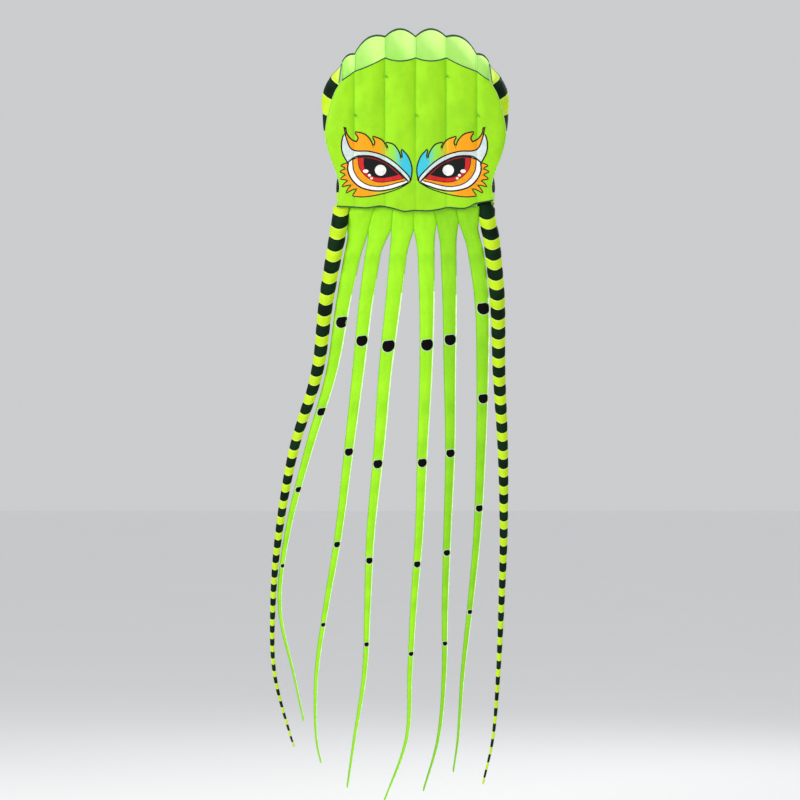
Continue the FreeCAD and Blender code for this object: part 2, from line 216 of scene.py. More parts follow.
def cloth_axes(shader):
    """A place in the cloth, and its parts: across, along and to the nearest seam, in metres."""
    vector = shader.add("Attribute", {}, output=1, attribute_name="weave")
    return vector, split(shader, vector)


def ripstop(name, cloth, shade, seam, stitched=True, sheen=0.08, shine=0.25, glow=0.0):
    """Ripstop nylon: a fine weave with a raised thread grid, rows of stitches, and the seam colour beside
    each seam, darker for the doubled cloth; where that colour is paler than the cloth it is a painted
    highlight.
    """
    s = Shader(name)
    vector, (across, along, near) = cloth_axes(s)
    threads = s.threads(across, along, GRID)
    weave = s.math("MULTIPLY", s.math("SINE", s.math("MULTIPLY", across, 9000)),
                   s.math("SINE", s.math("MULTIPLY", along, 9000)))
    broad = s.noise(vector, 9.0)
    crumple = s.noise(vector, 60.0, 5.0)
    colour = s.mix(s.ramp(broad, 0.35, 0.7), cloth, shade)
    colour = s.mix(s.math("MULTIPLY", threads, 0.22), colour, shade)
    # Band beside each seam in the seam colour: darker for the doubled cloth, and on the lime bands a pale
    # painted highlight.
    doubled_seam_and_painted_light = s.math("SUBTRACT", 1.0, s.ramp(near, 0.0045, 0.0065))
    colour = s.mix(s.math("MULTIPLY", doubled_seam_and_painted_light, 0.4), colour, seam)
    height = s.total((threads, 0.35), (weave, 0.06), (crumple, 1.6), (doubled_seam_and_painted_light, 0.8))
    if stitched:
        rows = s.lines(s.math("SUBTRACT", near, 0.002), 0.004, THREAD)
        dashes = s.math("GREATER_THAN", s.math("PINGPONG", along, 0.002), 0.0007)
        stitches = s.math("MULTIPLY", s.math("MULTIPLY", rows, dashes), doubled_seam_and_painted_light)
        thread = tuple(min(1.0, c * 1.5 + 0.04) for c in seam)
        colour = s.mix(s.math("MULTIPLY", stitches, 0.6), colour, thread)
        height = s.math("ADD", height, s.math("MULTIPLY", stitches, 1.2))
    roughness = s.math("ADD", 0.52, s.math("MULTIPLY", crumple, 0.12))
    # glow makes the cloth give off light of its own colour: a painted glow.
    return s.finish({
        "Base Color": colour, "Emission Color": colour, "Emission Strength": glow, "Roughness": roughness,
        "Normal": s.bump(0.35, 0.0012, height), "Sheen Weight": sheen, "Sheen Roughness": 0.4,
        "Specular IOR Level": shine,
    })


def tape(name, colour, light, glow=0.0):
    """Grosgrain tape: fine cross ribs along its length, worn lighter in patches."""
    s = Shader(name)
    vector, (_, along, _) = cloth_axes(s)
    ribs = s.math("SINE", s.math("MULTIPLY", along, 2 * math.pi / RIB_PITCH))
    worn = s.noise(vector, 45.0, 4.0)
    shade = s.mix(s.ramp(worn, 0.4, 0.75), colour, light)
    bump = s.bump(0.5, 0.0006, s.total((ribs, 0.5), (worn, 0.8)))
    # glow makes the tape give off light of its own colour: a painted glow.
    return s.finish({"Base Color": shade, "Emission Color": shade, "Emission Strength": glow,
                     "Normal": bump, "Roughness": 0.62, "Sheen Weight": 0.3})


def ink(name, colour, fade=None, start=0.0, end=1.0, last=None):
    """Printed ink on ripstop: the thread grid shows through, and the colour may fade across the print."""
    s = Shader(name)
    vector, (across, along, _) = cloth_axes(s)
    threads = s.threads(across, along, GRID)
    mottle = s.noise(vector, 55.0, 4.0)
    if fade:
        middle = start + (end - start) * 0.55
        base = s.mix(s.ramp(across, start, middle), colour, fade)
        base = s.mix(s.ramp(across, middle, end), base, last)
    else:
        dull = tuple(c * 0.8 for c in colour[:3]) + (1.0,)
        base = s.mix(s.ramp(mottle, 0.35, 0.8), colour, dull)
    bump = s.bump(0.25, 0.001, s.total((threads, 0.4), (mottle, 1.0)))
    return s.finish({"Base Color": base, "Normal": bump, "Roughness": 0.55, "Specular IOR Level": 0.2})


def solid_cloth(name, cloth, shade, grid=GRID):
    """Ripstop on a CAD node, laid out by the object's own coordinates."""
    s = Shader(name)
    place = s.tree.nodes.new("ShaderNodeTexCoord").outputs["Object"]
    _, along, up = split(s, place)
    threads = s.threads(along, up, grid)
    broad, fine = s.noise(place, 12.0), s.noise(place, 70.0, 5.0)
    colour = s.mix(s.ramp(broad, 0.35, 0.7), cloth, shade)
    colour = s.mix(s.math("MULTIPLY", threads, 0.25), colour, shade)
    bump = s.bump(0.4, 0.001, s.total((threads, 0.4), (fine, 1.5)))
    return s.finish({"Base Color": colour, "Normal": bump, "Roughness": 0.5, "Sheen Weight": 0.25})


def pale_floor():
    s = Shader("floor")
    place = s.tree.nodes.new("ShaderNodeTexCoord").outputs["Object"]
    tone = s.noise(place, 0.6, 4.0)
    colour = s.mix(tone, rgb(246, 247, 248), rgb(250, 250, 250))
    return s.finish({"Base Color": colour, "Roughness": 0.85})


FACE_GREEN = ripstop("face_green", rgb(160, 228, 16), rgb(148, 216, 10), rgb(124, 204, 10))
# Inner side of the back skins and the flanks: a paler copy of the green that glows faintly, painted light
# shining through the cloth.
CROWN_PAINTED_GLOW = ripstop("crown_painted_glow", rgb(224, 255, 160), rgb(210, 255, 138), rgb(150, 236, 84), glow=0.14)
BACK_GREEN = ripstop("back_green", rgb(160, 236, 50), rgb(138, 222, 30), rgb(104, 190, 20))
TENTACLE_GREEN = ripstop("tentacle_green", rgb(164, 240, 24), rgb(148, 226, 14), rgb(116, 200, 16))
TENTACLE_DEEP = ripstop("tentacle_deep_green", rgb(146, 220, 22), rgb(132, 206, 14), rgb(106, 184, 14))
# The lime bands' seam colour is paler than the cloth: a painted highlight along each band's edges.
LIME = ripstop("lime_band", rgb(200, 236, 16), rgb(184, 224, 6), rgb(214, 244, 110))
# Black bands coloured dark green with near-black seams: the green is painted light shining through the black
# cloth.
BLACK_PAINTED_BACKLIGHT = ripstop("black_band_painted_backlight", rgb(6, 44, 14), rgb(2, 22, 6), rgb(1, 3, 2), sheen=0.0, shine=0.09)
SPOT = ripstop("black_spot", rgb(4, 4, 5), rgb(2, 2, 2), rgb(1, 1, 1), stitched=False, sheen=0.0, shine=0.07)
SPOT_RIM = tape("spot_rim", rgb(186, 214, 160), rgb(214, 232, 190))
BINDING = tape("binding_tape", rgb(2, 66, 34), rgb(8, 88, 48))
PIPING = tape("pale_piping", rgb(176, 226, 110), rgb(206, 240, 160))
# Not a tape: a pale strip that glows, laid along each tentacle's right edge as a painted highlight.
PAINTED_EDGE_HIGHLIGHT = tape("painted_edge_highlight", rgb(214, 248, 176), rgb(244, 254, 232), glow=0.35)
WEBBING = solid_cloth("webbing", rgb(120, 206, 30), rgb(92, 180, 20), 0.0015)
RIB_CLOTH = solid_cloth("rib_cloth", rgb(196, 250, 140), rgb(168, 238, 104))


# ---- mesh helpers ----


def place_object(name, data):
    """A mesh, light or camera put in the scene."""
    made = bpy.data.objects.new(name, data)
    bpy.context.scene.collection.objects.link(made)
    return made


def build(name, points, faces, weave, materials, face_material=None):
    """A smooth-shaded object with the cloth's own coordinates stored on its points."""
    mesh = bpy.data.meshes.new(name)
    mesh.from_pydata([tuple(p) for p in points], [], faces)
    mesh.update()
    attribute = mesh.attributes.new("weave", "FLOAT_VECTOR", "POINT")
    attribute.data.foreach_set("vector", np.asarray(weave, np.float32).ravel())
    for material in materials:
        mesh.materials.append(material)
    mesh.polygons.foreach_set("use_smooth", [True] * len(mesh.polygons))
    if face_material is not None:
        mesh.polygons.foreach_set("material_index", face_material)
    return place_object(name, mesh)


def grid_faces(rows, columns, closed=False, first=0, flip=False):
    """Four-sided faces between rings or rows of points."""
    faces = []
    for i in range(rows - 1):
        for j in range(columns if closed else columns - 1):
            k = (j + 1) % columns
            a, b = first + i * columns + j, first + i * columns + k
            face = (a, b, b + columns, a + columns)
            faces.append(face[::-1] if flip else face)
    return faces


def tube_faces(rings, size, first=0, capped=True):
    """Faces of a tube of rings, closed at its last ring if capped."""
    faces = grid_faces(rings, size, closed=True, first=first)
    if capped:
        last = first + (rings - 1) * size
        faces.append(tuple(range(last, last + size)))
    return faces


def second_side(piece):
    """Makes a skin 0.8 mm thick, with its second material on the inside."""
    shell = piece.modifiers.new("second side", "SOLIDIFY")
    shell.thickness, shell.offset = 0.0008, -1.0
    shell.material_offset, shell.material_offset_rim = 1, 0


def skin(name, rows, columns, place, materials, flip=False):
    """A sheet, and its points row by row. place gives a point and its weave for a row and a column."""
    grid = np.array([[place(i, column) for column in columns] for i in range(rows + 1)], float)
    faces = grid_faces(rows + 1, len(columns), flip=flip)
    piece = build(name, grid[:, :, 0].reshape(-1, 3), faces, grid[:, :, 1].reshape(-1, 3), materials)
    second_side(piece)
    return piece, grid[:, :, 0]


def sweep(name, path, across, up, material, wide, thick, sides=10):
    """A tape along a path: an oval section, wide along up and thick along across."""
    path = np.array(path, float)
    run = np.concatenate([[0], np.cumsum(np.linalg.norm(np.diff(path, axis=0), axis=1))])
    points, weave = [], []
    for i, p in enumerate(path):
        for j, (side, lift) in enumerate(circle(sides)):
            points.append(p + np.array(across) * thick * side + np.array(up) * wide * lift)
            weave.append((j / sides * 2 * wide, run[i], 0.1))
    faces = tube_faces(len(path), sides) + [tuple(range(sides))[::-1]]
    return build(name, points, faces, weave, [material])


def area_of(grid):
    """Area of a grid of points."""
    a, b = grid[1:, :-1] - grid[:-1, :-1], grid[:-1, 1:] - grid[:-1, :-1]
    c, d = grid[1:, :-1] - grid[1:, 1:], grid[:-1, 1:] - grid[1:, 1:]
    return float((np.linalg.norm(np.cross(a, b), axis=2) + np.linalg.norm(np.cross(c, d), axis=2)).sum() / 2)


def stand_in(nodes):
    """Hides the CAD nodes that a piece stands for."""
    if nodes:
        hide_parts(*nodes)


def sew(piece, slot, *nodes):
    """Fixes a piece to the head and hides the CAD nodes that it stands for."""
    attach(piece, "head")
    stand_in(nodes)


# ---- the face ----

# The size that the face is taken to be cut to, a little over its own width and height.
FACE_LEVELS = np.linspace(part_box("face_panel")[0][2] + 0.001, HEM + 0.655, 60)
FACE_EDGE = [float(cut(["face_panel"], 2, z)[:, 0].max()) for z in FACE_LEVELS]
LIP_XS = np.linspace(-SIDE + 0.001, SIDE - 0.001, 161)
LIP_ZS = [float(cut(["lower_mouth_binding"], 0, x + 1e-5)[:, 2].max()) for x in LIP_XS]

# The hem hangs in slow waves: places across the face, and how far the hem is above its level line there.
HEM_WAVE = [
    (-0.412, 0.010), (-0.33, 0.006), (-0.25, 0.0), (-0.178, 0.012), (-0.121, 0.0), (-0.059, -0.019),
    (-0.013, -0.012), (0.067, -0.015), (0.116, -0.008), (0.162, 0.004), (0.239, -0.003), (0.270, 0.002),
    (0.304, 0.024), (0.39, 0.038), (0.42, 0.044),
]


def hem_height(x):
    xs, zs = zip(*HEM_WAVE)
    smooth = [float(np.interp(x + d, xs, zs)) for d in (-0.014, -0.007, 0.0, 0.007, 0.014)]
    return HEM + sum(smooth) / len(smooth)


def pucker(gap, reach):
    """How strongly the cloth puckers at a distance from a seam: not on it, then most, then fading."""
    return math.exp(-gap / reach) * min(1.0, gap / 0.004)


def half_width(z):
    return float(np.interp(z, FACE_LEVELS, FACE_EDGE))


def lip_height(x):
    return float(np.interp(x, LIP_XS, LIP_ZS))


def face_cell(x, z):
    """The cell's number from the left, and the share across it, at a place on the face."""
    edge = max(half_width(z), SIDE)
    bounds = [-edge] + RIBS + [edge]
    k = min(max(int(np.searchsorted(bounds, x)) - 1, 0), 5)
    return k, min(max((x - bounds[k]) / (bounds[k + 1] - bounds[k]), 0.0), 1.0), bounds[k + 1] - bounds[k]


def face_y(x, z):
    """Depth of the face: billowed cells, puckered beside the seams and softly creased."""
    k, t, width = face_cell(x, z)
    up = (z - HEM) / (lip_height(max(-SIDE, min(SIDE, x))) - HEM)
    swell = BILLOW * min(1.0, width / CELL) * (0.35 + 0.65 * ease((up - 0.15) / 0.45))
    round_share = (4 * t * (1 - t)) ** 0.72
    rim = [EDGE_Y if k == 0 else SEAM_Y, EDGE_Y if k == 5 else SEAM_Y]
    y = rim[0] + (rim[1] - rim[0]) * t - swell * round_share
    gap = min(t, 1 - t) * width
    y += 0.0016 * pucker(gap, 0.022) * ripple(x * 9, z * 75, 3.1)
    y += (0.0022 * round_share * ripple(x * 6, z * 4, 7.7)
          + 0.0007 * round_share * ripple(x * 22, z * 14, 1.3))
    lip = math.exp(-(1 - up) * 9)
    return y + lip * round_share * 0.0016 * ripple(x * 60, z * 6, 5.5)


def make_face():
    steps, across = 150, 26

    def place(i, column):
        k, j = column
        share = 0.5 - 0.5 * math.cos(math.pi * j)
        share = 0.45 * share + 0.55 * j
        if k in (0, 5):
            sign = -1 if k == 0 else 1
            t = 1 - share if k == 0 else share
            top_x = RIBS[-1] + t * (SIDE - RIBS[-1])
            low_x = RIBS[-1] + t * (half_width(HEM + 0.01) - RIBS[-1])
            low, top = hem_height(sign * low_x), lip_height(sign * top_x)
            z = low + (top - low) * i / steps
            x = sign * (RIBS[-1] + t * (max(half_width(z), SIDE) - RIBS[-1]))
        else:
            x = RIBS[k - 1] + share * (RIBS[k] - RIBS[k - 1])
            low, top = hem_height(x), lip_height(x)
            z = low + (top - low) * i / steps
        _, t, width = face_cell(x, z)
        return (x, face_y(x, z), z), (x, z, min(t, 1 - t) * width)

    columns = [(k, j / across) for k in range(6) for j in range(across)] + [(5, 1.0)]
    face, grid = skin("face_skin", steps, columns, place, [FACE_GREEN, RIB_CLOTH])
    sew(face, "green_ripstop", "face_panel")
    area_of(grid)
    return grid


def tapes_round_face(grid):
    """Binding on the lip and the hem, and pale piping down the two side edges."""
    lip, hem = grid[-1] + (0, -0.0004, -0.002), grid[0] + (0, -0.0004, 0.002)
    for name, path, node in (("lip_tape", lip, "lower_mouth_binding"), ("hem_tape", hem, "hem_binding")):
        piece = sweep(name, path, (0, 1, 0), (0, 0, 1), BINDING, 0.0036, 0.0016)
        sew(piece, "binding_tape", node)
    for name, column in (("left_edge_piping", 0), ("right_edge_piping", -1)):
        path = grid[:, column] + (0, -0.0006, 0)
        piece = sweep(name, path, (0, 1, 0), (1, 0, 0), PIPING, 0.0016, 0.0016, sides=8)
        sew(piece, "lime_ripstop")


# ---- the back skins and the crown ----


def ray_tree(node):
    mesh = frame["nodes"][node].data
    return BVHTree.FromPolygons([v.co for v in mesh.vertices], [p.vertices[:] for p in mesh.polygons])


def make_back(number):
    """One gore of the back skin, from the hem to the scalloped upper lip."""
    node = f"back_panel_{number}"
    tree = ray_tree(node)
    low_x, high_x = SEAMS[number - 1], SEAMS[number]
    width = high_x - low_x
    base = float(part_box(node)[0][2])
    columns = 25 if width > 0.1 else 15
    inset = 0.0006
    tops = []
    for j in range(columns):
        x = low_x + inset + (width - 2 * inset) * j / (columns - 1)
        tops.append((x, float(cut([node], 0, x + 1e-6)[:, 2].max())))
    steps = 120

    def place(i, j):
        x, top = tops[j]
        t = j / (columns - 1)
        z = base + 0.0008 + (top - base - 0.0016) * i / steps
        y = tree.ray_cast(Vector((x, 1.0, z)), Vector((0, -1, 0)))[0].y
        gap = min(t, 1 - t) * width
        round_share = (4 * t * (1 - t)) ** 0.8
        y += 0.0030 * pucker(gap, 0.024) * ripple(x * 10, z * 55, 2.0 + number)
        y += 0.0030 * round_share * ripple(x * 7, z * 5, 9.0 + number)
        crown = math.exp(-(1 - i / steps) * 7)
        y += 0.0022 * crown * round_share * ripple(x * 16 + z * 22, z * 9 - x * 12, 4.0)
        tuck = 0.0035 * math.exp(-gap / 0.006)
        edge_x = low_x if j == 0 else high_x if j == columns - 1 else x
        return (edge_x, y - tuck, z), (x, z, gap)

    # The inside takes the paler, glowing crown cloth: painted light through the skin.
    look = [BACK_GREEN, CROWN_PAINTED_GLOW]
    piece, grid = skin(f"back_skin_{number}", steps, range(columns), place, look, flip=True)
    sew(piece, "pale_green_ripstop", node)
    area_of(grid)
    return grid[-1]


def crown_tape(lips):
    """Binding round the scalloped upper lip, over all six gores."""
    path = np.concatenate([lips[0]] + [lip[1:] for lip in lips[1:]]) + (0, 0, 0.0022)
    piece = sweep("crown_tape", path, (0, 1, 0), (0, 0, 1), BINDING, 0.0054, 0.0028)
    sew(piece, "binding_tape", "upper_mouth_binding")


# ---- the striped sides ----

# Heights above the hem of the band seams along the face's edge, and how far each seam climbs to the back.
SIDE_SEAMS = [(0.648, 0.108), (0.633, 0.093), (0.557, 0.096), (0.475, 0.050), (0.400, 0.010), (0.318, 0.0),
              (0.236, 0.0), (0.160, 0.0), (0.084, 0.0), (0.006, 0.0)]
# The same for the lower edge of each side's lowest band.
SIDE_ENDS = {"left": (0.012, -0.004), "right": (0.034, -0.026)}
CORNER, RISE = SIDE_SEAMS[0]
# Height, down from the mouth's side edge, in which the panel's bulge grows from nothing.
SHOULDER = 0.15


def circle_through(a, b, c):
    """Centre and radius of the circle through three flat points."""
    ab, ac = b - a, c - a
    d = 2 * (ab[0] * ac[1] - ab[1] * ac[0])
    u = np.array([ac[1] * (ab @ ab) - ab[1] * (ac @ ac), ab[0] * (ac @ ac) - ac[0] * (ab @ ab)]) / d
    return a + u, float(np.hypot(*u))


class Flank:
    """One striped side of the head: level arcs from the face's edge to the back, closing in at the mouth."""

    def __init__(self, sign):
        self.sign, self.name = sign, "left" if sign < 0 else "right"
        nodes = [f"{self.name}_side_lime", f"{self.name}_side_black"]
        fronts, backs = [], []
        for z in np.arange(HEM + 0.010, HEM + 0.752, 0.012):
            points = cut(nodes, 2, z)[:, :2]
            backs.append((z, *points[points[:, 1].argmax()]))
            if z < HEM + CORNER - 0.004:
                fronts.append((z, *points[points[:, 1].argmin()], *points[(points[:, 0] * sign).argmax()]))
        self.fronts, self.backs = np.array(fronts), np.array(backs)

    def place(self, z, t, inward=0.0):
        """Point on the panel, t from 0 at the face's edge to 1 at the back seam, and the arc's length."""
        front, middle = np.array(lookup(self.fronts, z, 1, 2)), np.array(lookup(self.fronts, z, 3, 4))
        back = np.array(lookup(self.backs, z, 1, 2))
        centre, radius = circle_through(front, middle, back)
        start, bend, end = (math.atan2(p[1] - centre[1], p[0] - centre[0]) for p in (front, middle, back))
        turn = (end - start) % (2 * math.pi)
        if (bend - start) % (2 * math.pi) > turn:
            turn -= 2 * math.pi
        angle, r = start + turn * t, radius - inward
        arc = centre + r * np.array((math.cos(angle), math.sin(angle)))
        below = min(max((HEM + CORNER + RISE * t - z) / SHOULDER, 0.0), 1.0)
        full = math.sqrt(1 - (1 - below) ** 2) * (0.35 + 0.65 * ease((z - HEM) / 0.14))
        x, y = (front + (back - front) * t) * (1 - full) + arc * full
        return x, y, radius * abs(turn)

    def bands(self, colour, material, columns=40, steps=14):
        points, faces, weave = [], [], []
        for k, (upper, lower) in enumerate(zip(SIDE_SEAMS, SIDE_SEAMS[1:])):
            if (k % 2 == 0) != (colour == "lime"):
                continue
            first = len(points)
            if k == len(SIDE_SEAMS) - 2:
                lower = SIDE_ENDS[self.name]
            for i in range(steps + 1):
                u = i / steps
                height, climb = (a + (b - a) * u for a, b in zip(upper, lower))
                for j in range(columns + 1):
                    t = j / columns
                    z = HEM + height + climb * t
                    gap = min(u, 1 - u) * (upper[0] - lower[0] + (upper[1] - lower[1]) * t)
                    pinch = 0.0030 * math.exp(-gap / 0.008)
                    pinch += 0.0026 * math.exp(-gap / 0.02) * ripple(t * 26, z * 14, self.sign * 3)
                    pinch += 0.0030 * ripple(t * 5, z * 7, self.sign * 5)
                    x, y, length = self.place(z, t, pinch * math.sin(math.pi * t) ** 0.5)
                    points.append((x, y, z))
                    weave.append((t * length, z, gap))
            faces += grid_faces(steps + 1, columns + 1, first=first, flip=self.sign > 0)
        # The inside takes the paler, glowing crown cloth: painted light through the skin.
        piece = build(f"{self.name}_side_{colour}_skin", points, faces, weave, [material, CROWN_PAINTED_GLOW])
        second_side(piece)
        sew(piece, f"{colour}_ripstop", f"{self.name}_side_{colour}")

    def tape(self, name, steps, where):
        path = []
        for i in range(steps + 1):
            t, z = where(i / steps)
            x, y, _ = self.place(z, t, -0.0005)
            path.append((x, y, z))
        piece = sweep(f"{self.name}_{name}", path, (1, 0, 0), (0, 0.7, 0.7), BINDING, 0.0032, 0.0028)
        sew(piece, "binding_tape")

    def make(self):
        self.bands("lime", LIME)
        self.bands("black", BLACK_PAINTED_BACKLIGHT)
        self.tape("mouth_side_tape", 30, lambda s: (s, HEM + CORNER + RISE * s))
        self.tape("shoulder_tape", 24,
                  lambda s: (1 - 0.5 * s, HEM + CORNER + RISE * (1 - 0.5 * s) - 0.03 * s))


# ---- tentacles ----

SKIRT = [float(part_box("skirt_panel")[k][0]) for k in (0, 1)]
# Where neighbouring tentacles meet, as shares of the skirt's width, at the hem and at the slots' tops, and
# how far below the hem each slot starts.
HEM_SHARES = (-0.020, 0.170, 0.321, 0.480, 0.642, 0.821, 1.005)
SLOT_SHARES = (-0.040, 0.124, 0.307, 0.486, 0.668, 0.843, 0.997)
DEEPEST = 0.103
SLOT_DROPS = (DEEPEST, DEEPEST, DEEPEST, DEEPEST, 0.070, 0.066, DEEPEST)
# Height over which a tentacle narrows from the joined cloth to its hanging tube.
FLARE = 0.13
# How much narrower a tentacle is cut than its CAD solid over its upper half.
USUAL_SLIM, SLIM = 0.08, {2: 0.10, 4: 0.12, 5: 0.17}
# The tentacles of the deeper green.
DEEPER = (5, 6)
# The face round a tentacle's ring that its painted highlight, a pale glowing strip, is centred on, just in
# front of the right seam.
PAINTED_HIGHLIGHT_AT = 17
# How far behind the face's seams the tentacles and the front skirt hang from the hem.
SET_BACK = 0.024


def slot_x(k, z):
    """Across position of the meeting line between two tentacles, above the slot's top."""
    share = min(max((HEM - z) / SLOT_DROPS[k], 0.0), 1.0)
    both = HEM_SHARES[k] + (SLOT_SHARES[k] - HEM_SHARES[k]) * share
    return SKIRT[0] + (SKIRT[1] - SKIRT[0]) * both


def hinge(chain, k):
    """Depth and height of a limb's hinge, counted from its root."""
    return [float(v) for v in HINGES[f"{chain}_{LEVELS[k]}_swing"]["pos_m"][1:]]


ARM_Y, ROOT_Z = hinge("tentacle_1", 0)
TENTACLE_TOP = HEM + 0.006


def trace(nodes, step=0.01):
    """Centre and half width of a hanging chain of CAD nodes at rising heights."""
    low = min(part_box(n)[0][2] for n in nodes) + 0.0005
    high = max(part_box(n)[1][2] for n in nodes) - 0.0005
    rows = []
    for z in np.append(np.arange(low, high, step), high):
        points = cut(nodes, 2, z)
        if len(points):
            left, right = points[:, 0].min(), points[:, 0].max()
            rows.append((z, (left + right) / 2, (right - left) / 2))
    return np.array(rows)


def smooth_lookup(rows, z, column):
    """A value at a height, evened out with those a little lower and higher."""
    return float(np.mean([lookup(rows, z + d, column) for d in (-0.02, 0.0, 0.02)]))


def round_tip(wide, above, reach):
    """A half width that closes in a rounded tip over its last reach, to a blunt end."""
    end = min(1.0, above / reach)
    return max(0.0006, wide * math.sqrt(max(0.0, 1 - (1 - end) ** 2)))


class Tentacle:
    """The shape of one flat tentacle: a lens of two skins joined at the sides, hanging from the hem."""

    def __init__(self, number):
        self.number = number
        nodes = [f"tentacle_{number}_section_{k}" for k in (1, 2, 3)]
        self.rows = trace(nodes)
        self.low, self.top = float(self.rows[0, 0]), TENTACLE_TOP

    def edge(self, side, z):
        """Across position of the left (-1) or right (1) edge: the slot line above, the hanging tube below."""
        k = self.number - (side < 0)
        below = (HEM - SLOT_DROPS[k] - z) / FLARE
        line = slot_x(k, z)
        if below <= 0:
            return line
        hanging = smooth_lookup(self.rows, z, 1) + side * self.hanging_half(z)
        share = 1 - (1 - min(below, 1.0)) ** 1.7
        return line + (hanging - line) * share

    def hanging_half(self, z):
        wide = smooth_lookup(self.rows, z, 2) if z > self.low + 0.03 else lookup(self.rows, z, 2)[0]
        down = (self.top - z) / (self.top - self.low)
        wide *= 1 - SLIM.get(self.number, USUAL_SLIM) * (1 - ease((down - 0.45) / 0.4))
        return round_tip(wide, z - self.low, 0.012)

    def centre(self, z):
        return (self.edge(-1, z) + self.edge(1, z)) / 2

    def half(self, z):
        return (self.edge(1, z) - self.edge(-1, z)) / 2

    def middle_y(self, z):
        rise = ease((z - ROOT_Z) / (self.top - ROOT_Z))
        return ARM_Y - rise * (ARM_Y - SEAM_Y - SET_BACK)

    def point(self, t, z, back, lift=0.0):
        """Place on the front or back skin, t from -1 at the left seam to 1 at the right one."""
        half = self.half(z)
        flat = 0.30 - 0.12 * ease((z - ROOT_Z) / (self.top - ROOT_Z))
        bulge = half * flat * max(0.0, 1 - t * t) ** 0.7
        seed = self.number * 7.3 + (40 if back else 0)
        rim = math.exp(-(1 - abs(t)) * 5) * min(1.0, (1 - abs(t)) * 12)
        size = min(1.0, half / 0.03)
        bulge += size * rim * 0.0022 * ripple(z * 46, seed, t)
        folds = 0.0022 * ripple(z * 7, t * 1.6, seed) + 0.0009 * ripple(z * 24, t * 4, seed)
        bulge += size * (1 - t * t) * folds
        y = (bulge + lift) * (1 if back else -1)
        twist = 0.16 * ripple(z * 1.1, self.number * 3.7, 0.5) * ease((ROOT_Z - z) / 0.4)
        x = half * t
        return (self.centre(z) + x * math.cos(twist) - y * math.sin(twist),
                self.middle_y(z) + x * math.sin(twist) + y * math.cos(twist), z)

    def painted_highlight_reach(self, z):
        """How many faces either side of the right seam carry the painted highlight: none at the root, then
        slowly more.
        """
        return min(2.4, (HEM - z - 0.24) / 0.10 + 0.7 * ripple(z * 17, self.number * 2.9))

    def piece(self, name, top, low):
        """One length of the tentacle with its side seams as a narrow lip, and a painted highlight beside its
        right seam.
        """
        fine = [math.sin(math.pi / 2 * (j / 9 - 1)) for j in range(19)]
        count = max(8, round((top - low) / 0.009))
        levels = [top + (low - top) * i / count for i in range(count + 1)]
        tip = low <= self.low + 1e-6
        if tip:
            levels[-1:] = [self.low + d for d in (0.006, 0.003, 0.001)]
        # Places round a ring, and whether each is on the back skin. None stands for a seam's lip.
        ring = [(t, False) for t in fine] + [(1.0, None)]
        ring += [(t, True) for t in reversed(fine)] + [(-1.0, None)]
        points, weave = [], []
        for z in levels:
            half = self.half(z)
            lip = min(0.0016, half * 0.3)
            for t, back in ring:
                if back is None:
                    x, y, _ = self.point(t, z, False)
                    points.append((x + math.copysign(lip, t), y, z))
                    weave.append((t * half, z, 0.0))
                else:
                    points.append(self.point(t, z, back))
                    weave.append((t * half, z, (1 - abs(t)) * half + 0.002))
        size = len(ring)
        last = (len(levels) - 1) * size
        faces = tube_faces(len(levels), size, capped=tip)
        # Faces just in front of the right seam take the painted highlight.
        index = []
        for first, *_ in faces:
            aside = abs(first % size - PAINTED_HIGHLIGHT_AT)
            index.append(int(first < last and aside <= self.painted_highlight_reach(levels[first // size])))
        green = TENTACLE_DEEP if self.number in DEEPER else TENTACLE_GREEN
        return build(name, points, faces, weave, [green, PAINTED_EDGE_HIGHLIGHT], index)


def chain_cuts(chain, top, low):
    """Where a chain's lengths meet: halfway between neighbouring hinges."""
    root, middle, tip = (hinge(chain, k)[1] for k in range(3))
    return [top, (root + middle) / 2, (middle + tip) / 2, low]


def hang(piece, chain, k, slot, *nodes):
    """Bakes a length's placement into its points and hides the CAD nodes that it stands for."""
    y, z = hinge(chain, k)
    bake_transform(piece)
    stand_in(nodes)


# Depth of each tentacle's four spots below the hem, as shares of its length.
SPOT_SHARES = {
    1: (0.220, 0.395, 0.547, 0.696), 2: (0.237, 0.438, 0.605, 0.750), 3: (0.236, 0.440, 0.607, 0.752),
    4: (0.228, 0.427, 0.598, 0.749), 5: (0.224, 0.419, 0.590, 0.746), 6: (0.176, 0.336, 0.531, 0.715),
}
# A spot's half width, as a share of the tentacle's, and the width of its pale rim.
SPOT_SIZE, RIM = 0.90, 0.0042
# How far a tentacle's spots sit towards its right edge, as a share of their half width.
USUAL_ASIDE, SPOT_ASIDE = 0.05, {1: 0.30, 6: 0.16}


def spot_outline(grow):
    """A disc with a flattened, slightly tilted top, in units of its half width."""
    scale = 1 + grow
    return [(x * scale, min(z * 1.05, 0.80 + 0.12 * x) * scale) for x, z in circle(48)]


def fill(outline, spacing):
    """Triangles inside a closed flat outline, with inner points so that it can bend."""
    xs, zs = (np.arange(min(v) + spacing / 2, max(v), spacing) for v in zip(*outline))
    coords = [Vector(p) for p in outline + [(x, z) for x in xs for z in zs]]
    points, _, faces, *_ = geometry.delaunay_2d_cdt(coords, [], [list(range(len(outline)))], 1, 1e-7)
    used = sorted({v for f in faces for v in f})
    index = {v: i for i, v in enumerate(used)}
    return [(points[v].x, points[v].y) for v in used], [tuple(index[v] for v in f) for f in faces]


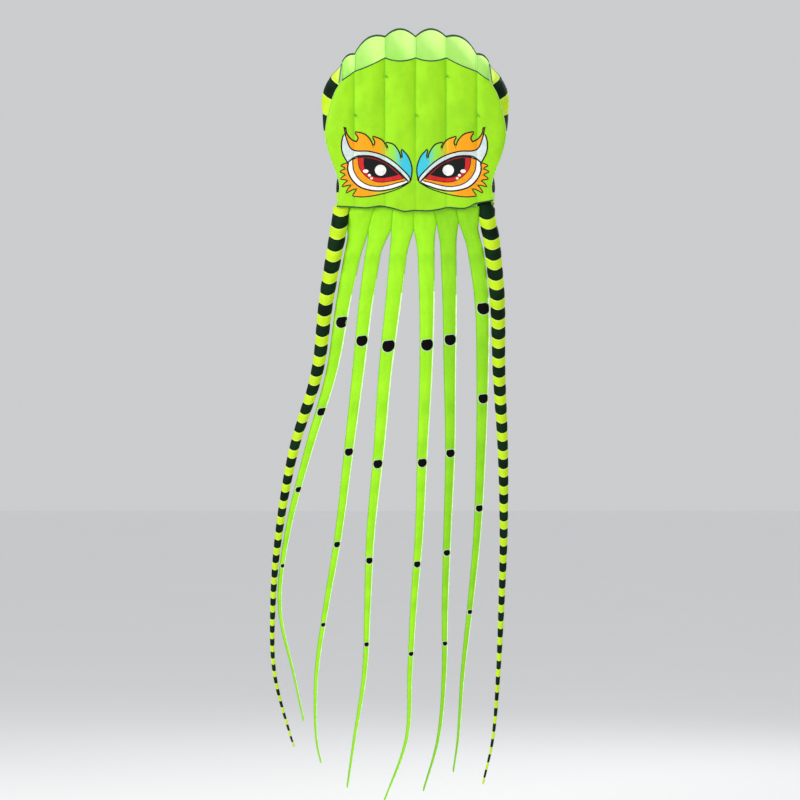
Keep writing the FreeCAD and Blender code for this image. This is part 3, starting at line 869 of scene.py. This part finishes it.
def make_spots(tentacle, name, low, top):
    """The spots on one length of a tentacle, each with a pale rim, as one piece, or None if it has none."""
    length = HEM - tentacle.low
    depths = [HEM - share * length for share in SPOT_SHARES[tentacle.number]]
    points, faces, weave, index = [], [], [], []
    for z0 in (z for z in depths if low < z <= top):
        wide = tentacle.half(z0) * SPOT_SIZE
        aside = SPOT_ASIDE.get(tentacle.number, USUAL_ASIDE) * wide
        for layer, (grow, lift) in enumerate(((RIM / wide, 0.0006), (0.0, 0.0011))):
            flat, triangles = fill(spot_outline(grow), 0.24)
            first = len(points)
            for x, z in flat:
                level = z0 + z * wide
                t = max(-0.98, min(0.98, (x * wide + aside) / tentacle.half(level)))
                points.append(tentacle.point(t, level, False, lift))
                weave.append((x * wide, level, 0.1))
            faces += [tuple(first + v for v in f) for f in triangles]
            index += [layer] * len(triangles)
    if not points:
        return None
    return build(name, points, faces, weave, [SPOT_RIM, SPOT], index)


def make_tentacle(number):
    tentacle = Tentacle(number)
    chain = f"tentacle_{number}"
    cuts = chain_cuts(chain, tentacle.top, tentacle.low)
    for k in range(3):
        length = tentacle.piece(f"{chain}_{LEVELS[k]}_skin", cuts[k], cuts[k + 1])
        hang(length, chain, k, "green_ripstop", f"{chain}_section_{k + 1}")
        spots = make_spots(tentacle, f"{chain}_{LEVELS[k]}_spots", cuts[k + 1], cuts[k])
        if spots:
            hang(spots, chain, k, "black_ripstop")


# ---- striped arms ----

# For each arm: how far its first black band is below the hem, how many there are, and first pitch over last.
STRIPES = {"left": (0.021, 33, 2.0), "right": (-0.021, 33, 1.36)}
# The black band's share of a pair of bands.
BLACK_SHARE = 0.53
# How far each arm's root leans in under the head.
LEAN = {"left": 0.0, "right": 0.014}


class Arm:
    """The shape of one striped tube: a round sleeve pinched at its band seams."""

    def __init__(self, name):
        self.name = name
        self.chain = f"{name}_arm"
        self.nodes = {c: [f"{name}_arm_{k}_{c}" for k in (1, 2, 3)] for c in ("black", "lime")}
        rows = trace(self.nodes["black"] + self.nodes["lime"])
        stub = trace([f"{name}_side_{c}" for c in ("black", "lime")])
        stub = stub[stub[:, 0] < HEM - 0.002]
        self.rows = np.vstack([rows, stub])
        self.low, self.top = float(rows[0, 0]), HEM + 0.044
        self.edges = self.band_edges()

    def band_edges(self):
        """Heights of the band seams from the top down. The bands shorten towards the tip."""
        start, pairs, ratio = STRIPES[self.name]
        pitches = [1 + (ratio - 1) * (1 - k / (pairs - 1)) ** 1.5 for k in range(pairs)]
        scale = (HEM - start - self.low) / sum(pitches)
        edges = [HEM - start]
        for pitch in pitches:
            edges += [edges[-1] - BLACK_SHARE * pitch * scale, edges[-1] - pitch * scale]
        edges[-1] = self.low
        return edges

    def centre(self, z):
        inward = 1 if self.name == "left" else -1
        tuck = 0.014 * ease((z - HEM) / 0.03) + LEAN[self.name] * ease((z - ROOT_Z + 0.06) / 0.14)
        return smooth_lookup(self.rows, z, 1) + inward * tuck

    def radius(self, z):
        wide = lookup(self.rows, z, 2)[0] * (1 - 0.12 * ease((z - HEM) / 0.03))
        return round_tip(wide, z - self.low, 0.008)

    def band(self, upper, lower, rows, sides):
        """Points and weave of one band. Its seams dip at the front, as they hang."""
        points, weave = [], []
        seed = ripple(upper * 3.3, 1.7) * 10
        for i in range(rows + 1):
            u = i / rows
            z = upper + (lower - upper) * u
            gap = min(u, 1 - u) * (upper - lower)
            radius = self.radius(z)
            for j in range(sides):
                a = 2 * math.pi * j / sides
                side, front = math.cos(a), -math.sin(a)
                puff = 0.055 * math.sin(math.pi * u) ** 0.7
                crimp = 0.035 * math.exp(-gap / 0.006) * ripple(side * 5, front * 5, seed + round(u) * 9)
                crease = 0.03 * ripple(side * 2.2, front * 2.2, z * 21)
                r = radius * (0.965 + puff + crimp + crease)
                tilt = -0.48 * radius * front * abs(front) * ease((z - self.low) / 0.05)
                points.append((self.centre(z) + r * side, ARM_Y - r * front, z + tilt))
                weave.append((a * radius, z, gap))
        return points, weave

    def make(self):
        cuts = chain_cuts(self.chain, self.top, self.low)
        cuts = [cuts[0]] + [min(self.edges[::2], key=lambda e: abs(e - c)) for c in cuts[1:3]] + [cuts[3]]
        bands = [("black", a, b) for a, b in zip(self.edges[::2], self.edges[1::2])]
        bands += [("lime", a, b) for a, b in zip(self.edges[1::2], self.edges[2::2])]
        if self.edges[0] < HEM:
            bands.append(("lime", self.top, self.edges[0]))
        else:
            bands[0] = ("black", self.top, self.edges[1])
        sides = 34
        for k in range(3):
            for colour, material in (("black", BLACK_PAINTED_BACKLIGHT), ("lime", LIME)):
                points, faces, weave = [], [], []
                for tone, upper, lower in bands:
                    if upper > cuts[k] + 1e-6 or lower < cuts[k + 1] - 1e-6 or tone != colour:
                        continue
                    rows = max(5, round((upper - lower) / 0.006))
                    ring, cloth = self.band(upper, lower, rows, sides)
                    first = len(points)
                    points += ring
                    weave += cloth
                    faces += tube_faces(rows + 1, sides, first, capped=lower <= self.low + 1e-6)
                piece = build(f"{self.chain}_{LEVELS[k]}_{colour}_skin", points, faces, weave, [material])
                hang(piece, self.chain, k, f"{colour}_ripstop", self.nodes[colour][k])


# ---- the skirt ----

# The cloth starts this far above the hem and is this long. It is shorter by each shallower slot, and that
# notch fades over this distance to either side.
SKIRT_LAP, SKIRT_LENGTH, NOTCH_WIDTH = 0.012, 0.108, 0.030


def make_skirt(name, depth):
    """One of the two skins that close the head below the hem and meet at the tentacles' hinge line."""
    drops = [(slot_x(k, HEM - drop), drop) for k, drop in enumerate(SLOT_DROPS)]
    rows, columns = 28, 160

    def place(i, j):
        u = i / rows
        left, right = slot_x(0, HEM - 0.1 * u), slot_x(6, HEM - 0.1 * u)
        x = left + (right - left) * (j / columns)
        notch = max((DEEPEST - drop) * math.exp(-((x - at) / NOTCH_WIDTH) ** 2) for at, drop in drops)
        z = HEM + SKIRT_LAP - (SKIRT_LENGTH - notch) * u
        level = ease((z - ROOT_Z) / (TENTACLE_TOP - ROOT_Z))
        y = ARM_Y + level * (depth - ARM_Y) + 0.001 * ripple(x * 30, z * 14, 2.5)
        return (x, y, z), (x, z, 0.05)

    look = [TENTACLE_GREEN, RIB_CLOTH]
    skirt, grid = skin(name, rows, range(columns + 1), place, look, flip=name == "front_skirt")
    sew(skirt, "green_ripstop", "skirt_panel")
    area_of(grid)


# ---- printed eyes ----

# Where the pupils are: the middle between them, how far each is from it, and their height above the hem.
EYE_MIDDLE, EYE_SPREAD, EYE_HEIGHT = -0.006, 0.174, 0.196
# How far the print stands off the face, the rectangle that it fits in, and the pitch of its inner points.
PRINT_LIFT, EYE_FLAT, EYE_PITCH = 0.0014, (0.37, 0.36), 5.5
PLAIN_INKS = {"black": (12, 10, 12), "line": (26, 20, 16), "white": (250, 250, 248), "orange": (250, 160, 12),
              "red": (214, 32, 38), "lid": (214, 228, 226)}
INKS = {name: ink(f"ink_{name}", rgb(*colour)) for name, colour in PLAIN_INKS.items()}
INKS["brow"] = ink("ink_brow", rgb(252, 162, 10), rgb(150, 226, 60), -0.02, 0.12, rgb(58, 196, 220))
INKS["lower"] = ink("ink_lower", rgb(252, 160, 10), rgb(190, 214, 40), -0.06, 0.08, rgb(150, 224, 34))

# Outlines in millimetres from the pupil, towards the nose and up. Each is a ring of smooth runs that meet in
# corners, and a run starts where the one before it ends.
SCLERA = [
    [(-130, 64), (-96, 70), (-40, 66), (20, 42), (80, 0), (139, -60)],
    [(100, -78), (50, -94), (0, -102), (-52, -99), (-106, -81), (-145, -44), (-164, 0), (-162, 40)],
]
ORANGE = [
    [(-96, 67), (-40, 63), (20, 39), (78, -3), (130, -52)],
    [(92, -60), (50, -72), (-6, -81), (-62, -73), (-106, -46), (-135, 0), (-141, 54)],
]
RED = [
    [(-62, 65), (-12, 53), (38, 28), (84, -10), (116, -42)],
    [(63, -52), (13, -59), (-31, -54), (-76, -27), (-106, 12), (-115, 62)],
]
IRIS = [
    [(-62, 63), (-12, 51), (38, 26), (94, -23)],
    [(63, -32), (13, -40), (-31, -35), (-63, -18), (-85, 14), (-87, 63)],
]
LID = [
    [(-197, 138), (-192, 90), (-166, 40)],
    [(-130, 64), (-96, 70), (-40, 66), (20, 42), (80, 0), (146, -64)],
    [(146, -38), (108, 4), (68, 40), (28, 66), (-12, 82), (-66, 94), (-124, 96), (-160, 116), (-186, 184)],
]
BROW = [
    [(-176, 186), (-152, 156), (-122, 142)], [(-112, 166), (-128, 194)],
    [(-84, 182), (-54, 152), (-38, 112)], [(-26, 142), (-38, 170)], [(4, 154), (24, 126), (32, 98)],
    [(40, 118), (30, 140)], [(66, 128), (94, 88), (104, 44)], [(114, 72), (108, 104)],
    [(140, 66), (158, 10), (152, -52)],
    [(146, -34), (108, 8), (68, 44), (28, 70), (-12, 86), (-66, 98), (-124, 100), (-162, 122), (-184, 224)],
]
LOWER = [
    [(100, -82), (50, -98), (0, -106), (-54, -103), (-110, -84), (-150, -46), (-168, 0), (-168, 34)],
    [(-182, 32), (-201, 24)], [(-184, 16), (-175, 4)], [(-188, 2), (-206, -8)], [(-188, -14), (-172, -26)],
    [(-186, -30), (-203, -44)], [(-180, -46), (-158, -54)], [(-176, -62), (-196, -82)],
    [(-164, -74), (-139, -74)], [(-158, -88), (-176, -114)], [(-142, -96), (-118, -92)],
    [(-126, -108), (-142, -130)], [(-93, -134), (-43, -129), (4, -119), (52, -106), (100, -88), (142, -64)],
]


def smooth_ring(runs, steps=7):
    """Dense closed outline: a Catmull-Rom curve along each run, with corners where runs meet."""
    ring, start = [], runs[-1][-1]
    for run in runs:
        pts = [np.array(p, float) for p in [start] + run]
        start = run[-1]
        ext = [2 * pts[0] - pts[1]] + pts + [2 * pts[-1] - pts[-2]]
        for k in range(len(pts) - 1):
            a, b, c, d = ext[k:k + 4]
            for u in (i / steps for i in range(steps)):
                square, cube = 2 * a - 5 * b + 4 * c - d, 3 * b - 3 * c + d - a
                ring.append(0.5 * (2 * b + (c - a) * u + square * u**2 + cube * u**3))
    return ring


def oval(x, z, wide, tall):
    return [np.array((x + wide * across, z + tall * up)) for across, up in circle(28)]


def grown(ring, by):
    """The outline moved outwards, for the dark line that shows round it."""
    area = sum(a[0] * b[1] - b[0] * a[1] for a, b in zip(ring, ring[1:] + ring[:1]))
    side = 1 if area > 0 else -1
    result = []
    for a, p, b in zip(ring[-1:] + ring[:-1], ring, ring[1:] + ring[:1]):
        d = b - a
        length = float(np.hypot(*d)) or 1.0
        result.append(p + side * by * np.array((d[1], -d[0])) / length)
    return result


def inside(ring, places):
    """Which places lie inside a closed outline."""
    result = np.zeros(len(places), bool)
    for a, b in zip(ring, ring[1:] + ring[:1]):
        crosses = (a[1] > places[:, 1]) != (b[1] > places[:, 1])
        if a[1] != b[1]:
            at = a[0] + (places[:, 1] - a[1]) / (b[1] - a[1]) * (b[0] - a[0])
            result ^= crosses & (places[:, 0] < at)
    return result


def eye_layers():
    """The print's outlines and their inks' names, the later ones covering the earlier ones."""
    lined = ((LOWER, "lower", 5.4, "line"), (BROW, "brow", 7.0, "line"), (LID, "lid", 7.0, "black"),
             (SCLERA, "white", 8.0, "black"), (ORANGE, "orange", 5.4, "black"), (RED, "red", 4.0, "line"))
    layers = []
    for runs, inside_ink, width, line in lined:
        ring = smooth_ring(runs)
        layers += [(grown(ring, width), line), (ring, inside_ink)]
    layers.append((smooth_ring(IRIS), "black"))
    pupil_and_glints = ((0, 0, 29, 28), (-76, -5, 14, 9), (-57, -26, 7.5, 7), (-46, -42, 7, 6))
    return layers + [(oval(*shape), "white") for shape in pupil_and_glints]


def make_eye(side):
    """One eye's print, as a single map of inks laid on the face."""
    name = "left_eye" if side < 0 else "right_eye"
    layers = eye_layers()
    coords, edges = [], []
    for outline, _ in layers:
        first = len(coords)
        coords += [Vector(p) for p in outline]
        edges += [(first + i, first + (i + 1) % len(outline)) for i in range(len(outline))]
    lowest = [min(p[k] for p in coords) for k in (0, 1)]
    highest = [max(p[k] for p in coords) for k in (0, 1)]
    seams = [(EYE_SPREAD - side * (x - EYE_MIDDLE)) * 1000 for x in RIBS]
    columns = list(np.arange(lowest[0], highest[0], EYE_PITCH))
    columns += [x + d for x in seams for d in (-3.5, -1.2, 0.0, 1.2, 3.5) if lowest[0] < x < highest[0]]
    coords += [Vector((x, z)) for x in columns for z in np.arange(lowest[1], highest[1], EYE_PITCH)]
    flat, _, triangles, *_ = geometry.delaunay_2d_cdt(coords, edges, [], 0, 1e-6)
    flat = np.array([tuple(p) for p in flat])
    middles = np.array([flat[list(f)].mean(axis=0) for f in triangles])
    ink_of = np.full(len(triangles), -1)
    for order, (outline, _) in enumerate(layers):
        ink_of[inside(outline, middles)] = order
    inked = [(f, k) for f, k in zip(triangles, ink_of) if k >= 0]
    used = sorted({v for f, _ in inked for v in f})
    place = {v: i for i, v in enumerate(used)}
    points, weave = [], []
    for v in used:
        ex, ez = flat[v]
        x, z = EYE_MIDDLE + side * (EYE_SPREAD - ex / 1000), HEM + EYE_HEIGHT + ez / 1000
        points.append((x, face_y(x, z) - PRINT_LIFT, z))
        weave.append((ex / 1000, ez / 1000, 0.1))
    faces = [tuple(place[v] for v in (f if side < 0 else f[::-1])) for f, _ in inked]
    index = [list(INKS).index(layers[k][1]) for _, k in inked]
    piece = build(f"{name}_print", points, faces, weave, list(INKS.values()), index)
    sew(piece, "eye_print", name)


# ---- build everything ----

tapes_round_face(make_face())
crown_tape([make_back(number) for number in range(1, 7)])
for sign in (-1, 1):
    Flank(sign).make()
    make_eye(sign)
make_skirt("front_skirt", SEAM_Y + SET_BACK)
make_skirt("back_skirt", float(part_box("skirt_panel")[1][1]))
for number in range(1, 7):
    make_tentacle(number)
for arm_name in ("left", "right"):
    Arm(arm_name).make()
for k in range(1, 6):
    frame["nodes"][f"rib_{k}"].material_slots[0].material = RIB_CLOTH
frame["nodes"]["bridle_loops"].material_slots[0].material = WEBBING

# ---- floor, light and camera ----


def make_floor():
    size, height = 60.0, cad_box[0][2] - 0.16
    mesh = bpy.data.meshes.new("floor")
    corners = [(x * size, y * size, height) for x, y in ((-1, -1), (1, -1), (1, 1), (-1, 1))]
    mesh.from_pydata(corners, [], [(0, 1, 2, 3)])
    mesh.materials.append(pale_floor())
    place_object("floor", mesh)


def area_light(name, place, target, size, power, colour=(1, 1, 1)):
    light = bpy.data.lights.new(name, "AREA")
    light.size, light.energy, light.color = size, power, colour
    lamp = place_object(name, light)
    lamp.location = place
    lamp.rotation_euler = (Vector(target) - Vector(place)).to_track_quat("-Z", "Y").to_euler()


MIDDLE = Vector((-0.08, 0.07, HEM - 0.984))
make_floor()
area_light("key", (-5.2, -4.4, 2.4), MIDDLE, 2.6, 250, (1.0, 0.99, 0.95))
area_light("front", (0.8, -8.0, 1.4), MIDDLE, 4.0, 120, (0.97, 0.98, 1.0))
area_light("top", (0.2, 1.0, 3.6), (0, 0.1, -0.2), 2.5, 60)
area_light("rim", (2.4, 4.6, 1.4), MIDDLE, 3.0, 80)

world = bpy.data.worlds.new("studio")
bpy.context.scene.world = world
world.use_nodes = True
world.node_tree.nodes["Background"].inputs[0].default_value = (0.97, 0.98, 1.0, 1)
world.node_tree.nodes["Background"].inputs[1].default_value = 0.62
bpy.context.scene.view_settings.view_transform = "Standard"

SPAN, FOCAL, SENSOR = 4.12, 180.0, 36.0
camera = bpy.data.cameras.new("camera")
camera.lens, camera.sensor_width = FOCAL, SENSOR
viewer = place_object("camera", camera)
viewer.location = (MIDDLE.x, MIDDLE.y - SPAN * FOCAL / SENSOR, MIDDLE.z)
viewer.rotation_euler = (math.pi / 2, 0, 0)
bpy.context.scene.camera = viewer
